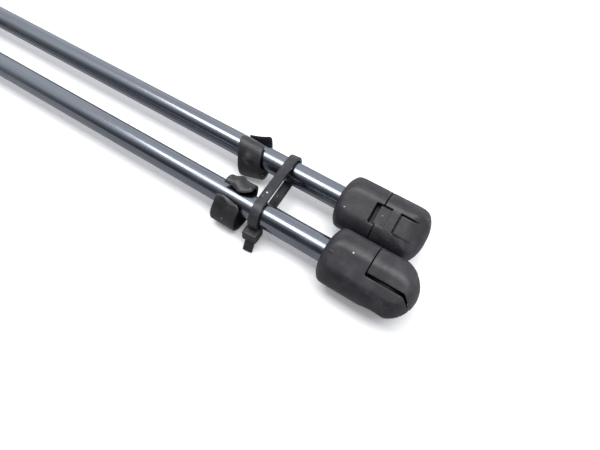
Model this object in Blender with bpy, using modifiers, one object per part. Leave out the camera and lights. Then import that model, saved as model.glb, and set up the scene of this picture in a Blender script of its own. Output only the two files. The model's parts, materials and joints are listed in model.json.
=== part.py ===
"""A tied pair of gas struts: two complete struts with plastic ball sockets, a clip on each rod, one cable tie.

Metres, +Z up, both rods along X with their rod ends toward +X, lying on the plane z = 0.
Every strut hangs on an empty at the centre of its rod-end ball, and is measured from there toward -X.
"""
import math

import bmesh
import bpy
from mathutils import Vector

MM = 0.001

# ---- the pair ----
ROD_SPACING = 20.5          # between the two rod axes
STAGGER = 6.4               # the far strut is set back by this much
LOCK_ROLL = {"near": -56.0, "far": 34.0}   # which way each rod-end lock faces, from straight up
TUBE_END_ROLL = 34.0        # the same for both tube-end locks

# ---- one strut ----
EXTENDED = 500.0            # ball centre to ball centre
TUBE_MOUTH = 225.6          # from the rod-end ball to the tube's mouth
TUBE_END = 478.9            # from the rod-end ball to the tube's closed end
ROD_R = 4.0
ROD_STUB_R = 3.7
TENON_R = 3.0
TUBE_R = 9.0
TUBE_WALL = 1.0
INNER_R = 7.7               # pieces that stay still inside the tube
HOLE_R = 4.3                # clearance hole for the rod

# ---- one ball socket, from its ball centre: +X nose, +Z lock side ----
HALF = 8.9                  # half the rounded square section
CORNER_R = 6.0              # radius of its long edges
BLANK_R = 10.6              # turned radius before the four flats
COLLAR_END = -20.6
NOSE = 9.1
SPLIT = -6.4                # where the collar stops and the lock starts
BALL_R = 5.1
MOUTH_R = 4.9
CORE_R = 6.2
CORE_TOP = 6.4
GAP = 0.3

# ---- the clips and the tie ----
CLIP_WIDTH = 9.3
CLIP_WALL = 1.1
CLIP_R = 4.98               # middle of the clip's wall where it hugs the rod
CLIP_REST = 9.3             # from the rod's axis down to the middle of a wall that lies on the table
TIE_WIDTH = 3.2
TIE_WALL = 1.2
TIE_SKEW = 6.4

# height of the rod axes when a socket lies on its rounded square side
_roll = math.radians(LOCK_ROLL["far"])
AXIS_Z = (HALF - CORNER_R) * (abs(math.cos(_roll)) + abs(math.sin(_roll))) + CORNER_R
# middle of the pair's length, so that the world origin is under the middle of the whole
MID_X = (NOSE + (-EXTENDED - NOSE - STAGGER)) / 2

for item in list(bpy.data.objects):
    bpy.data.objects.remove(item, do_unlink=True)

scene = bpy.context.scene
pair = bpy.data.collections.new("gas_strut_pair")
cutters = bpy.data.collections.new("cutters")
cutters.hide_render = True
scene.collection.children.link(pair)
scene.collection.children.link(cutters)


def material(name, colour, metallic, roughness):
    mat = bpy.data.materials.new(name)
    mat.use_nodes = True
    shader = mat.node_tree.nodes["Principled BSDF"]
    shader.inputs["Base Color"].default_value = (*colour, 1.0)
    shader.inputs["Metallic"].default_value = metallic
    shader.inputs["Roughness"].default_value = roughness
    mat.diffuse_color = (*colour, 1.0)
    return mat


STEEL_DARK = material("dark_polished_steel", (0.20, 0.22, 0.25), 1.0, 0.12)
STEEL_PLAIN = material("plain_steel", (0.55, 0.55, 0.56), 1.0, 0.35)
TUBE_PAINT = material("black_paint", (0.020, 0.020, 0.022), 0.0, 0.35)
ALLOY = material("sintered_alloy", (0.48, 0.46, 0.42), 1.0, 0.5)
RUBBER = material("black_rubber", (0.015, 0.015, 0.015), 0.0, 0.8)
GUIDE_PLASTIC = material("white_guide_plastic", (0.75, 0.74, 0.70), 0.0, 0.5)
RING_PLASTIC = material("amber_ring_plastic", (0.45, 0.30, 0.12), 0.0, 0.45)
SOCKET_PLASTIC = material("black_socket_plastic", (0.030, 0.029, 0.032), 0.0, 0.45)
LOCK_PLASTIC = material("black_lock_plastic", (0.036, 0.035, 0.038), 0.0, 0.42)
CLIP_PLASTIC = material("black_clip_plastic", (0.028, 0.028, 0.030), 0.0, 0.4)
TIE_NYLON = material("black_tie_nylon", (0.025, 0.025, 0.030), 0.0, 0.38)


def place(obj, parent=None, at=(0, 0, 0), turn=(0, 0, 0)):
    """Place an object by millimetres and degrees in its parent's frame."""
    obj.parent = parent
    obj.location = Vector(at) * MM
    obj.rotation_euler = [math.radians(a) for a in turn]
    return obj


def empty(name, parent=None, at=(0, 0, 0), turn=(0, 0, 0)):
    obj = bpy.data.objects.new(name, None)
    obj.empty_display_size = 5 * MM
    obj.hide_render = True
    pair.objects.link(obj)
    return place(obj, parent, at, turn)


def piece(name, mesh, mat):
    """One visible sub-part; a mesh that several share keeps the material it was given first."""
    obj = bpy.data.objects.new(name, mesh)
    pair.objects.link(obj)
    if not mesh.materials:
        mesh.materials.append(mat)
    return obj


def cutter(name, mesh):
    obj = bpy.data.objects.new(name, mesh)
    obj.display_type = "WIRE"
    obj.hide_render = True
    cutters.objects.link(obj)
    return obj


def boolean(obj, tool, operation="DIFFERENCE"):
    mod = obj.modifiers.new(f"{operation.lower()}_{tool.name}"[:60], "BOOLEAN")
    mod.operation = operation
    mod.solver = "EXACT"
    mod.object = tool


def chain(name, points, closed):
    """An open or closed row of edges; points are millimetres."""
    bm = bmesh.new()
    verts = [bm.verts.new(Vector(p) * MM) for p in points]
    pairs = list(zip(verts, verts[1:]))
    if closed:
        pairs.append((verts[-1], verts[0]))
    for a, b in pairs:
        bm.edges.new((a, b))
    mesh = bpy.data.meshes.new(name)
    bm.to_mesh(mesh)
    bm.free()
    return mesh


def profile(name, points, closed=False):
    """Edges at (x, radius), from the +X end down the outer side toward -X."""
    return chain(name, [(x, r, 0.0) for x, r in points], closed)


def spin(obj, steps):
    mod = obj.modifiers.new("spin", "SCREW")
    mod.axis = "X"
    mod.angle = math.tau
    mod.steps = steps
    mod.render_steps = steps
    mod.use_merge_vertices = True
    mod.merge_threshold = 1e-6
    mod.use_smooth_shade = True


def turned(name, points, mat, steps=24, closed=False):
    obj = piece(name, profile(name, points, closed), mat)
    spin(obj, steps)
    return obj


def box_mesh(name, low, high, bevel=0.0, segments=3, along=None):
    """A box between two corners, with its edges rounded: all of them, or those along one axis."""
    bm = bmesh.new()
    bmesh.ops.create_cube(bm, size=1.0)
    size = [h - l for l, h in zip(low, high)]
    mid = [(h + l) / 2 for l, h in zip(low, high)]
    bmesh.ops.scale(bm, vec=Vector(size) * MM, verts=bm.verts)
    bmesh.ops.translate(bm, vec=Vector(mid) * MM, verts=bm.verts)
    if bevel:
        edges = list(bm.edges)
        if along is not None:
            edges = [e for e in edges if abs((e.verts[0].co - e.verts[1].co)[along]) > 1e-5]
        bmesh.ops.bevel(
            bm, geom=edges, offset=bevel * MM, segments=segments, profile=0.5, affect="EDGES",
        )
    mesh = bpy.data.meshes.new(name)
    bm.to_mesh(mesh)
    bm.free()
    return mesh


def stadium_mesh(name, radius, bottom, top, back, bevel):
    """An upright cylinder whose rear half is slid back, with its upper rim rounded."""
    bm = bmesh.new()
    bmesh.ops.create_cone(
        bm, cap_ends=True, segments=24, radius1=radius * MM, radius2=radius * MM,
        depth=(top - bottom) * MM,
    )
    bmesh.ops.translate(bm, vec=(0, 0, (top + bottom) / 2 * MM), verts=bm.verts)
    for vert in bm.verts:
        if vert.co.x < -1e-6:
            vert.co.x -= back * MM
    if bevel:
        rim = [e for e in bm.edges if all(v.co.z > (top - 0.01) * MM for v in e.verts)]
        bmesh.ops.bevel(bm, geom=rim, offset=bevel * MM, segments=2, profile=0.5, affect="EDGES")
    mesh = bpy.data.meshes.new(name)
    bm.to_mesh(mesh)
    bm.free()
    return mesh


def arc(centre, radius, start, end, count):
    """Points of an arc in a plane, angles in degrees from the plane's first axis."""
    cx, cy = centre
    out = []
    for i in range(count + 1):
        a = math.radians(start + (end - start) * i / count)
        out.append((cx + radius * math.cos(a), cy + radius * math.sin(a)))
    return out


# ================================================================ the ball sockets
def blank_points():
    """The blank's outline: blunt round nose, straight side, rounded rod side with a flat face."""
    points = [(NOSE, 0.0)]
    full = 2.4
    for t in (0.28, 0.50, 0.67, 0.80, 0.90, 0.97):
        points.append((NOSE * (1 - t**full) ** (1 / full), BLANK_R * t))
    points.append((0.0, BLANK_R))
    for a in (0, 22.5, 45, 67.5, 90):
        c = math.radians(a)
        points.append((COLLAR_END + 6.4 * (1 - math.sin(c)), 4.6 + (BLANK_R - 4.6) * math.cos(c)))
    points.append((COLLAR_END, 0.0))
    return points


def ball_room_points():
    """Ball space, snap-in neck and lead-in, turned about X with the mouth toward -X."""
    points = [(BALL_R, 0.0)]
    for a in (25, 45, 65, 85, 105):
        c = math.radians(a)
        points.append((BALL_R * math.cos(c), BALL_R * math.sin(c)))
    drop = math.sqrt(BALL_R**2 - MOUTH_R**2)
    points += [(-drop, MOUTH_R), (-7.4, MOUTH_R), (-9.1, 6.4), (-11.0, 6.4), (-11.0, 0.0)]
    return points


BLANK = profile("socket_blank", blank_points())
BLANK_LOCK = profile("lock_blank", blank_points())
NOSE_ROUND = stadium_mesh("nose_round", NOSE, -12, 12, 14, 0)
PRISM = box_mesh("socket_prism", (-30, -HALF, -HALF), (20, HALF, HALF), CORNER_R, 5, along=0)
LOCK_ROOM = box_mesh("lock_room", (SPLIT, -12, -0.5), (14, 12, 12))
CORE = stadium_mesh("core", CORE_R, -2, CORE_TOP, 8, 1.2)
CORE_FOOT = stadium_mesh("core_foot", 8.0, -2, 0.2, 8, 0.2)
BALL_ROOM = profile("ball_room", ball_room_points())
ROD_BORE = profile("rod_bore", [(-7.7, 0), (-7.7, 4.0), (-17.7, 4.0), (-17.7, HOLE_R), (-24, HOLE_R), (-24, 0)])
WINDOW = box_mesh("window", (-8.6, -3.3, 5.6), (-5.5, 3.3, 12))
LOCK_SHAPE = box_mesh("lock_shape", (SPLIT + GAP, -12, 0.5), (14, 12, 12))
TONGUE = box_mesh("tongue", (-7.0, -3.0, 6.9), (-3.4, 3.0, 8.7), 0.2, 1)
TONGUE_DIP = box_mesh("tongue_dip", (-8.0, -3.0, 8.7), (-3.4, 3.0, 12))
PAD = box_mesh("pad", (-0.2, -3.1, 5.9), (6.0, 3.1, 9.2), 0.3, 2)
CORE_ROOM = stadium_mesh("core_room", CORE_R + GAP, -3, CORE_TOP + GAP, 9, 1.2)
TONGUE_SIDE = box_mesh("tongue_side", (-8.0, 3.0, 7.4), (-3.4, 3.4, 12))
PAD_BACK = box_mesh("pad_back", (-0.65, -3.1, 8.1), (-0.2, 3.5, 12))
PAD_SIDE = box_mesh("pad_side", (-0.65, 3.1, 7.4), (5.6, 3.5, 12))


def socket_tool(name, pivot, mesh, turn=(0, 0, 0), steps=0):
    tool = place(cutter(name, mesh), pivot, turn=turn)
    if steps:
        spin(tool, steps)
    return tool


def ball_socket(end, pivot):
    """Housing and lock of one socket, cut from the same blank, round the ball centre at the pivot."""
    housing = place(piece(f"{end}_socket", BLANK, SOCKET_PLASTIC), pivot)
    spin(housing, 32)
    prism = socket_tool(f"{end}_prism", pivot, PRISM)
    boolean(housing, prism, "INTERSECT")
    nose_round = socket_tool(f"{end}_nose_round", pivot, NOSE_ROUND, (90, 0, 0))
    boolean(housing, nose_round, "INTERSECT")
    room = socket_tool(f"{end}_lock_room", pivot, LOCK_ROOM)
    boolean(room, socket_tool(f"{end}_core", pivot, CORE))
    boolean(room, socket_tool(f"{end}_core_foot", pivot, CORE_FOOT))
    boolean(housing, room)
    boolean(housing, socket_tool(f"{end}_ball_room", pivot, BALL_ROOM, (0, -90, 0), 24))
    boolean(housing, socket_tool(f"{end}_rod_bore", pivot, ROD_BORE, steps=24))
    boolean(housing, socket_tool(f"{end}_window", pivot, WINDOW))

    lock = place(piece(f"{end}_lock", BLANK_LOCK, LOCK_PLASTIC), pivot)
    spin(lock, 32)
    boolean(lock, prism, "INTERSECT")
    boolean(lock, socket_tool(f"{end}_lock_shape", pivot, LOCK_SHAPE), "INTERSECT")
    boolean(lock, socket_tool(f"{end}_tongue", pivot, TONGUE), "UNION")
    boolean(lock, socket_tool(f"{end}_tongue_dip", pivot, TONGUE_DIP))
    boolean(lock, socket_tool(f"{end}_pad", pivot, PAD), "UNION")
    boolean(lock, nose_round, "INTERSECT")
    boolean(lock, socket_tool(f"{end}_core_room", pivot, CORE_ROOM))
    for part, mesh in (("tongue_side", TONGUE_SIDE), ("pad_back", PAD_BACK), ("pad_side", PAD_SIDE)):
        boolean(lock, socket_tool(f"{end}_{part}", pivot, mesh))


# ================================================================ rod, piston and tube
def ring(name, strut, near, far, inner, outer, mat, steps=20, edge=0.0):
    """A flat ring between two distances from the rod-end ball."""
    c = edge
    points = [
        (-near, outer - c), (-near - c, outer), (-far + c, outer), (-far, outer - c),
        (-far, inner), (-near, inner),
    ]
    if not c:
        points = [(-near, outer), (-far, outer), (-far, inner), (-near, inner)]
    obj = turned(name, points, mat, steps, closed=True)
    return place(obj, strut)


def rod_points():
    """Stub in the socket, polished rod, shoulder and riveted tenon that carries the piston."""
    m = TUBE_MOUTH
    return [
        (-8.0, 0), (-8.0, ROD_STUB_R - 0.5), (-8.5, ROD_STUB_R), (-18.0, ROD_STUB_R), (-18.0, ROD_R),
        (-m - 27.0, ROD_R), (-m - 27.0, TENON_R), (-m - 41.0, TENON_R), (-m - 41.5, TENON_R - 0.5),
        (-m - 41.5, 0),
    ]


def tube_points():
    """Drawn tube, both ends rolled in over the guide and the end plug, with a bead behind each."""
    m, e = -TUBE_MOUTH, -TUBE_END
    r, i = TUBE_R, TUBE_R - TUBE_WALL
    lip = 5.5
    outside = [(m, lip), (m, 7.0), (m - 0.6, 8.4), (m - 2.0, r)]
    outside += [(m - 19.8, r), (m - 20.5, 8.5), (m - 21.3, 8.5), (m - 22.0, r)]
    outside += [(e + 12.0, r), (e + 11.3, 8.5), (e + 10.7, 8.5), (e + 10.0, r)]
    outside += [(e + 2.0, r), (e + 0.6, 8.4), (e, 7.0), (e, lip)]
    inside = [(e + 1.5, lip), (e + 1.5, 7.3), (e + 2.2, i)]
    inside += [(e + 10.1, i), (e + 10.7, 7.4), (e + 11.3, 7.4), (e + 11.9, i)]
    inside += [(m - 21.9, i), (m - 21.3, 7.4), (m - 20.5, 7.4), (m - 19.9, i)]
    inside += [(m - 2.2, i), (m - 1.5, 7.3), (m - 1.5, lip)]
    return outside + inside


def guide_points(m):
    """Long bearing for the rod, with a reduced nose under the rolled lip."""
    return [
        (-m - 1.8, 6.9), (-m - 2.6, INNER_R), (-m - 11.4, INNER_R), (-m - 11.8, 7.3),
        (-m - 11.8, HOLE_R), (-m - 1.8, HOLE_R),
    ]


def seal_points(m):
    """Lip seal: a body against the tube, a spring groove and a lip round the rod."""
    return [
        (-m - 13.4, INNER_R), (-m - 18.4, INNER_R), (-m - 18.4, 6.4), (-m - 16.2, 6.0),
        (-m - 16.2, 5.3), (-m - 18.2, 4.9), (-m - 18.2, 4.4), (-m - 16.8, HOLE_R), (-m - 13.4, HOLE_R),
    ]


def piston_points(m):
    """Piston with the groove its ring turns in."""
    n, f = -m - 28.6, -m - 36.6
    return [
        (n, 7.2), (n - 0.4, 7.6), (n - 2.1, 7.6), (n - 2.1, 6.1), (n - 5.2, 6.1), (n - 5.2, 7.6),
        (f + 0.4, 7.6), (f, 7.2), (f, 3.3), (n, 3.3),
    ]


def plug_points():
    """End plug with a seal groove, and the stud that holds the tube-end socket."""
    e = -TUBE_END
    return [
        (e + 9.8, 0), (e + 9.8, 7.3), (e + 9.4, INNER_R), (e + 7.4, INNER_R), (e + 7.4, 5.9),
        (e + 5.2, 5.9), (e + 5.2, INNER_R), (e + 2.6, INNER_R), (e + 1.8, 6.9), (e + 1.8, 3.6),
        (e - 11.0, 3.6), (e - 11.5, 3.1), (e - 11.5, 0),
    ]


def strut(side, at, roll):
    """One whole strut, rod end at the given place."""
    m = TUBE_MOUTH
    root = empty(f"{side}_strut", at=at)
    rod_end = empty(f"{side}_rod_end", root, turn=(roll, 0, 0))
    tube_end = empty(f"{side}_tube_end", root, at=(-EXTENDED, 0, 0), turn=(-TUBE_END_ROLL, 0, 180))

    place(turned(f"{side}_piston_rod", rod_points(), STEEL_DARK, 32), root)
    place(turned(f"{side}_pressure_tube", tube_points(), TUBE_PAINT, 32, closed=True), root)
    place(turned(f"{side}_rod_guide", guide_points(m), GUIDE_PLASTIC, closed=True), root)
    ring(f"{side}_seal_washer", root, m + 12.1, m + 13.1, HOLE_R, 7.6, STEEL_PLAIN)
    place(turned(f"{side}_rod_seal", seal_points(m), RUBBER, closed=True), root)
    ring(f"{side}_seal_retainer", root, m + 18.7, m + 19.6, HOLE_R, 7.6, STEEL_PLAIN)
    ring(f"{side}_stop_ring", root, m + 20.2, m + 26.7, HOLE_R, 6.6, STEEL_PLAIN, edge=0.4)
    ring(f"{side}_support_washer", root, m + 27.3, m + 28.3, 3.3, 7.0, STEEL_PLAIN)
    place(turned(f"{side}_piston", piston_points(m), ALLOY, closed=True), root)
    ring(f"{side}_piston_ring", root, m + 31.0, m + 33.5, 6.4, INNER_R, RING_PLASTIC)
    ring(f"{side}_valve_disc", root, m + 36.9, m + 37.9, 3.3, 6.0, STEEL_PLAIN)
    ring(f"{side}_rivet_collar", root, m + 38.2, m + 40.8, 3.3, 4.6, STEEL_PLAIN, edge=0.4)
    place(turned(f"{side}_end_plug", plug_points(), ALLOY, 32), root)
    seal_x = -TUBE_END + 6.3
    seal = arc((seal_x, 6.93), 0.72, 0, -315, 7)
    seal = [(x, r) for x, r in reversed(seal)]
    place(turned(f"{side}_end_plug_seal", seal, RUBBER, closed=True), root)

    split = cutter(f"{side}_ring_split", box_mesh(f"{side}_ring_split", (-33.8, -0.4, 5), (-30.7, 0.4, 9)))
    place(split, root, at=(-m, 0, 0))
    boolean(bpy.data.objects[f"{side}_piston_ring"], split)

    ball_socket(f"{side}_rod_end", rod_end)
    ball_socket(f"{side}_tube_end", tube_end)
    return root


near = strut("near", (-MID_X, -ROD_SPACING / 2, AXIS_Z), LOCK_ROLL["near"])
far = strut("far", (-MID_X - STAGGER, ROD_SPACING / 2, AXIS_Z), LOCK_ROLL["far"])


# ================================================================ the rod clips
def clip_section(first, last, sag, low, swell, swell_at):
    """Middle line of the clip's wall round the rod axis, in degrees from +Y toward +Z.

    It hugs the rod, sags toward the angle that hangs low, swells at its far leg, and stops at the table.
    """
    points = []
    for i in range(25):
        a = first + (last - first) * i / 24
        c, s = math.cos(math.radians(a)), math.sin(math.radians(a))
        r = CLIP_R + sag * max(0.0, math.cos(math.radians(a - low))) ** 2
        r += swell * math.exp(-(((a - swell_at) / 32) ** 2))
        if s < 0:
            r = min(r, CLIP_REST / -s)
        points.append((r * c, r * s))
    return points


def strip(obj, width, wall):
    """Draw a row of edges out along X to a width, and give it a wall half to each side."""
    mod = obj.modifiers.new("width", "SCREW")
    mod.axis = "X"
    mod.angle = 0.0
    mod.screw_offset = width * MM
    mod.steps = 1
    mod.render_steps = 1
    mod.use_smooth_shade = True
    mod = obj.modifiers.new("wall", "SOLIDIFY")
    mod.thickness = wall * MM
    mod.offset = 0.0


def nub_mesh(name, radius, height):
    """A low four-sided point on the clip's back."""
    bm = bmesh.new()
    bmesh.ops.create_cone(
        bm, cap_ends=True, segments=8, radius1=radius * MM, radius2=0.3 * MM, depth=height * MM,
    )
    mesh = bpy.data.meshes.new(name)
    bm.to_mesh(mesh)
    bm.free()
    return mesh


def rod_clip(side, strut_root, x, section, skew, yaw, nub_angle, bites):
    """A springy open clip with slanted ends; each bite is a rounded notch in one of its free edges."""
    name = f"{side}_rod_clip"
    path = [(-CLIP_WIDTH / 2 + skew * z + yaw * y, y, z) for y, z in section]
    clip = place(piece(name, chain(name, path, False), CLIP_PLASTIC), strut_root, at=(x, 0, 0))
    strip(clip, CLIP_WIDTH, CLIP_WALL)
    pivot = empty(f"{side}_clip_pivot", strut_root, at=(x, 0, 0))
    out = CLIP_R + 0.7
    a = math.radians(nub_angle)
    nub = cutter(f"{name}_nub", nub_mesh(f"{name}_nub", 1.7, 1.9))
    place(nub, pivot, (0, out * math.cos(a), out * math.sin(a)), (nub_angle - 90, 0, 0))
    boolean(clip, nub, "UNION")
    for number, (low, high, axis) in enumerate(bites):
        mesh = box_mesh(f"{name}_bite_{number}", low, high, 0.9, 3, along=axis)
        boolean(clip, place(cutter(f"{name}_bite_{number}", mesh), pivot))


rod_clip("near", near, -54.8, clip_section(139, 449, 4.6, 246, 1.5, 415), 0.10, 0.0, 10, (
    ((-2.0, -7, 3.1), (0.8, -2, 8), 1),
    ((2.8, -1, 3.4), (7.0, 2.0, 8), 2),
))
rod_clip("far", far, -55.7, clip_section(87, 390, 3.9, 262, 1.1, 400), -0.12, -0.20, 163, (
    ((-1.4, 3, 1.6), (1.6, 8, 7), 1),
))


# ================================================================ the cable tie
def cable_tie(x):
    """A strap round both rods, the head with its closing slot at the near side, and the cut tail."""
    name = "cable_tie"
    pivot = empty("cable_tie_pivot", at=(x, 0, AXIS_Z), turn=(0, 0, TIE_SKEW))
    r = 4.95
    half = ROD_SPACING / 2 + 0.1
    path = arc((half, 0), r, 90, -90, 10) + arc((-half, 0), r, 270, 90, 10)
    tie = piece(name, chain(name, [(-TIE_WIDTH / 2, y, z) for y, z in path], True), TIE_NYLON)
    place(tie, pivot)
    strip(tie, TIE_WIDTH, TIE_WALL)
    head = box_mesh("tie_head", (-2.5, -17.9, -6.3), (2.6, -12.9, -2.7), 0.6, 2)
    head = place(cutter("tie_head", head), pivot)
    room = cutter("tie_rod_room", profile("tie_rod_room", [(9, 0), (9, HOLE_R), (-9, HOLE_R), (-9, 0)]))
    spin(place(room, pivot, (0, -ROD_SPACING / 2, 0), (0, 0, -TIE_SKEW)), 32)
    boolean(head, room)
    boolean(tie, head, "UNION")
    tail = box_mesh("tie_tail", (-1.6, -5.4, -0.6), (1.6, 1.2, 0.6), 0.15, 1)
    boolean(tie, place(cutter("tie_tail", tail), pivot, (0.2, -16.2, -4.9), (60, 0, 0)), "UNION")


cable_tie(-25.4 - MID_X - 20.8)
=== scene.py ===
"""A tied pair of gas struts on a pale table.

Polished rods, painted tubes, moulded sockets, clips and a cable tie. Shapes are worked out in millimetres and
carried to metres when they become meshes.
"""
import json
import math

import bpy
import numpy as np
from mathutils import Matrix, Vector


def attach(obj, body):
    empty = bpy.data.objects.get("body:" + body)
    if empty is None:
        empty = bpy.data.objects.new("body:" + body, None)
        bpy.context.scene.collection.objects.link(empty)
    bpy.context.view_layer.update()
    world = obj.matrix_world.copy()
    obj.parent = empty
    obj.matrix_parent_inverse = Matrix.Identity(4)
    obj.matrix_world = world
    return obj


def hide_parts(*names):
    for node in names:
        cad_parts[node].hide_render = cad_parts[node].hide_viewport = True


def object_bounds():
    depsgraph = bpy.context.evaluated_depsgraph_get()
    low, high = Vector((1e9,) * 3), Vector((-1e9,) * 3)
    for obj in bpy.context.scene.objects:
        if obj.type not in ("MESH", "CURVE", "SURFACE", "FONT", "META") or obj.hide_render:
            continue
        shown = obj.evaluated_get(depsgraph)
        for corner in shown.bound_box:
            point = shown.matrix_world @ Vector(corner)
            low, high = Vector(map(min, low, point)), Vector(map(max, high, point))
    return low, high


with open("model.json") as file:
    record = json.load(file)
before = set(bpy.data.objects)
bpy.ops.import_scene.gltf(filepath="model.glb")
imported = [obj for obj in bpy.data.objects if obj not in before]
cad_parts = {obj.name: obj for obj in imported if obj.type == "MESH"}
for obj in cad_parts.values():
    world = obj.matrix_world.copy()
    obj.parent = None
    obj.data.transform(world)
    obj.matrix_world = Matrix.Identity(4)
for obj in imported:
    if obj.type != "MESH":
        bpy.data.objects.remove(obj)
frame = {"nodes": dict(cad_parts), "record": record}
cad_box = [[float(c) for c in corner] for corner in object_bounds()]
MM = 0.001

# sizes of the real pieces, in millimetres
ROD_R = 4.0
TUBE_R = 9.0
SOCKET_HALF = 8.9
SOCKET_CORNER = 6.0
BLANK_R = 10.6
NOSE = 9.02
COLLAR_END = -20.6
SPLIT = -6.4
BALL_R = 5.1
NECK_R = 4.9
BALL_FROM_SEAT = 9.0
TUBE_MOUTH = 225.6
TUBE_END = 478.9
ROD_SPACING = 20.5
CLIP_R = 4.98
CLIP_WALL = 1.1
CLIP_WIDTH = 9.3
CLIP_REST = 9.3              # from the rod's axis down to a clip wall's middle that lies on the table
LIP_SHARE = 0.05             # the share of a clip's wall that thins to its free edge
NEAR_CLIP_X = -54.8          # along the strut from its rod-end ball
FAR_CLIP_X = -55.7
STRAP_R = 4.95
TIE_SKEW = 6.4
TIE_X = -46.2
TOOTH_PITCH = 0.75
TOOTH_DEPTH = 0.42
HOUSING_DIP = 3.4            # how far the parting drops at the nose, on the housing's side
LOCK_DIP = 4.0               # and on the lock's side, so that the gap narrows there
MOULD_LINE_Z = 0.7
MOULD_LINE_RISE = 0.11
MOULD_LINE_REACH = 0.16
CREASE = math.radians(42)

# the camera, in metres from the near rod-end ball, degrees and millimetres
CAMERA_FROM_NEAR_BALL = (0.00912, -0.07626, 0.11852)
CAMERA_TURN = (36.956, -4.174, 33.066)
CAMERA_LENS = 28.8


# ================================================================ surfaces
def volume(points, faces):
    """Signed volume of quads: one sixth of the sum of the triple products of both triangles of each quad."""
    a, b, c, d = (points[faces[:, i]] for i in range(4))
    first = np.einsum("ij,ij->i", a, np.cross(b, c))
    second = np.einsum("ij,ij->i", a, np.cross(c, d))
    return (first.sum() + second.sum()) / 6


def sheet_faces(rows, columns, wrap_rows, wrap_columns):
    """Quads of a grid of rows x columns points, joined back to its start across either direction."""
    i = np.arange(rows if wrap_rows else rows - 1)[:, None]
    j = np.arange(columns if wrap_columns else columns - 1)[None, :]
    below = (i + 1) % rows
    right = (j + 1) % columns
    quads = np.stack(np.broadcast_arrays(
        i * columns + j, i * columns + right, below * columns + right, below * columns + j), -1)
    return quads.reshape(-1, 4)


def skin(name, rings, loop=False, scale=1.0, smooth=True):
    """Closed mesh through rings of points (ring, point, xyz): quads between neighbours, the two ends filled
    by one flat face each, or the last ring joined to the first for a loop. Turned outward by its volume."""
    count, size = rings.shape[:2]
    points = rings.reshape(-1, 3)
    quads = sheet_faces(count, size, loop, True)
    flip = volume(points - points.mean(0), quads) < 0
    faces = quads[:, ::-1] if flip else quads
    faces = faces.tolist()
    if not loop:
        first = list(range(size))
        last = [i + (count - 1) * size for i in range(size)]
        faces += [first, last[::-1]] if flip else [first[::-1], last]
    mesh = bpy.data.meshes.new(name)
    mesh.from_pydata((points * scale).tolist(), [], faces)
    mesh.polygons.foreach_set("use_smooth", np.full(len(mesh.polygons), smooth))
    mesh.update()
    return mesh


def turned(profile, steps):
    """A profile of (x, radius) points carried round the X axis: (x, r cos a, r sin a)."""
    profile = np.asarray(profile, float)
    a = np.linspace(0, math.tau, steps, endpoint=False)
    x = np.broadcast_to(profile[:, :1], (len(profile), steps))
    r = profile[:, 1:2]
    return np.stack([x, r * np.cos(a), r * np.sin(a)], -1)


def rounded_outline(half_a, half_b, radius, per_corner=8):
    """A rectangle's outline with round corners: each corner centre plus radius times (cos, sin)."""
    t = np.linspace(0, math.pi / 2, per_corner)
    parts = []
    for quarter, (sa, sb) in enumerate(((1, 1), (-1, 1), (-1, -1), (1, -1))):
        a = t + quarter * math.pi / 2
        parts.append(np.stack([
            sa * (half_a - radius) + radius * np.cos(a),
            sb * (half_b - radius) + radius * np.sin(a)], -1))
    return np.concatenate(parts)


def block(low, high, edge):
    """A box with rounded edges: its outline in Y and Z, drawn in by edge (1 - sin a) near both ends in X."""
    low, high = np.asarray(low, float), np.asarray(high, float)
    mid, half = (low + high) / 2, (high - low) / 2
    a = np.linspace(0, math.pi / 2, 5)
    draw = np.concatenate([edge * (1 - np.sin(a)), edge * (1 - np.sin(a[::-1]))])
    x = np.concatenate([-half[0] + edge * (1 - np.cos(a)), half[0] - edge * (1 - np.cos(a[::-1]))])
    rings = []
    for inset, station in zip(draw, x):
        ring = rounded_outline(half[1] - inset, half[2] - inset, max(edge - inset, 0.02), 5)
        rings.append(np.column_stack([np.full(len(ring), station), ring]))
    return np.array(rings) + mid


def slid_cylinder(radius, bottom, top, back, edge):
    """An upright round post whose rear half is slid back: (r cos a - back where cos a < 0, r sin a,
    height)."""
    a = np.linspace(0, math.tau, 96, endpoint=False)
    turn = np.linspace(0, math.pi / 2, 6)
    heights = np.concatenate([[bottom], top - edge + edge * np.sin(turn)])
    radii = np.concatenate([[radius], radius - edge + edge * np.cos(turn)])
    x = radii[:, None] * np.cos(a) - back * (np.cos(a) < -1e-6)
    y = radii[:, None] * np.sin(a)
    z = np.broadcast_to(heights[:, None], x.shape)
    return np.stack([x, y, z], -1)


def soft_least(a, b, blend):
    """The smaller of two values, eased over a width: min(a, b) - h^2 / 4 blend, h = blend - |a - b| above
    0."""
    h = np.maximum(blend - np.abs(a - b), 0.0)
    return np.minimum(a, b) - h * h / (4 * blend)


def link(mesh, name=None):
    """An object of the mesh, put in the scene."""
    obj = bpy.data.objects.new(name or mesh.name, mesh)
    bpy.context.scene.collection.objects.link(obj)
    return obj


def unlink(*objects):
    """Takes working objects out again."""
    for obj in objects:
        bpy.data.objects.remove(obj, do_unlink=True)


def carve(obj, cuts):
    """Booleans one after the other: each cut is (operation, rings in millimetres)."""
    tools = []
    for number, (operation, rings) in enumerate(cuts):
        tool = link(skin(f"tool_{number}", rings))
        mod = obj.modifiers.new(f"cut_{number}", "BOOLEAN")
        mod.operation = operation
        mod.solver = "EXACT"
        mod.object = tool
        tools.append(tool)
    return tools


def soften(obj, voxel, rounds, keep):
    """Moulded edges: the solid is rebuilt in small cells, eased, and thinned where it is plain."""
    mod = obj.modifiers.new("cells", "REMESH")
    mod.mode = "VOXEL"
    mod.voxel_size = voxel
    mod.use_smooth_shade = True
    mod = obj.modifiers.new("ease", "SMOOTH")
    mod.factor = 0.5
    mod.iterations = rounds
    mod = obj.modifiers.new("thin", "DECIMATE")
    mod.ratio = keep


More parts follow.
